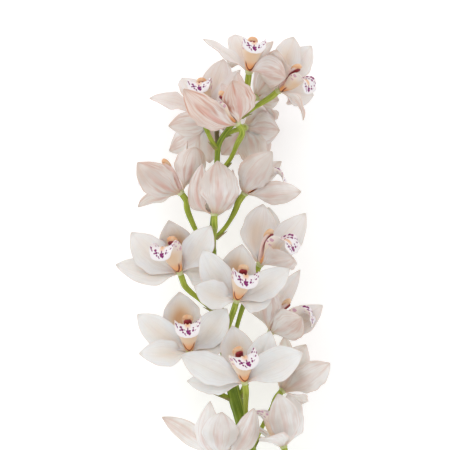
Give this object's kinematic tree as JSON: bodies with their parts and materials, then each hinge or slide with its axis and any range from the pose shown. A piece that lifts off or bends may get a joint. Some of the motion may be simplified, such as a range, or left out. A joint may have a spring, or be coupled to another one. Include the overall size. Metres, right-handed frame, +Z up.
{
  "type": "cymbidium orchid stem",
  "caption": "Cut cymbidium orchid stem lying on a surface, with open pale blooms, spotted lips and dark columns on a thick green stalk.",
  "frame": {"origin": "on the table, under the middle of the box round the whole stem", "axes": "+Y along the stem towards its tip, +X across it to the right as the picture shows it, +Z up off the table towards the eye"},
  "size_m": [0.1825, 0.5192, 0.1218],
  "materials": {
    "tepals": "satin",
    "lip": "satin",
    "column": "satin",
    "stem": "satin"
  },
  "bodies": {
    "root": {"stem": "stem", "bloom_01_tepals": "tepals", "bloom_01_lip": "lip", "bloom_01_column": "column", "bloom_02_tepals": "tepals", "bloom_02_lip": "lip", "bloom_02_column": "column", "bloom_03_tepals": "tepals", "bloom_03_lip": "lip", "bloom_03_column": "column", "bloom_04_tepals": "tepals", "bloom_04_lip": "lip", "bloom_04_column": "column", "bloom_05_tepals": "tepals", "bloom_05_lip": "lip", "bloom_05_column": "column", "bloom_06_tepals": "tepals", "bloom_06_lip": "lip", "bloom_06_column": "column", "bloom_07_tepals": "tepals", "bloom_07_lip": "lip", "bloom_07_column": "column", "bloom_08_tepals": "tepals", "bloom_08_lip": "lip", "bloom_08_column": "column", "bloom_09_tepals": "tepals", "bloom_09_lip": "lip", "bloom_09_column": "column", "bloom_10_tepals": "tepals", "bloom_10_lip": "lip", "bloom_10_column": "column", "bloom_11_tepals": "tepals", "bloom_11_lip": "lip", "bloom_11_column": "column", "bloom_12_tepals": "tepals", "bloom_12_lip": "lip", "bloom_12_column": "column", "bloom_13_tepals": "tepals", "bloom_13_lip": "lip", "bloom_13_column": "column", "bloom_14_tepals": "tepals", "bloom_14_lip": "lip", "bloom_14_column": "column", "bloom_15_tepals": "tepals", "bloom_15_lip": "lip", "bloom_15_column": "column", "bloom_16_tepals": "tepals", "bloom_16_lip": "lip", "bloom_16_column": "column", "bloom_17_tepals": "tepals", "bloom_17_lip": "lip", "bloom_17_column": "column", "bloom_18_tepals": "tepals", "bloom_18_lip": "lip", "bloom_18_column": "column", "bloom_19_tepals": "tepals", "bloom_19_lip": "lip", "bloom_19_column": "column"}
  },
  "joints": []
}
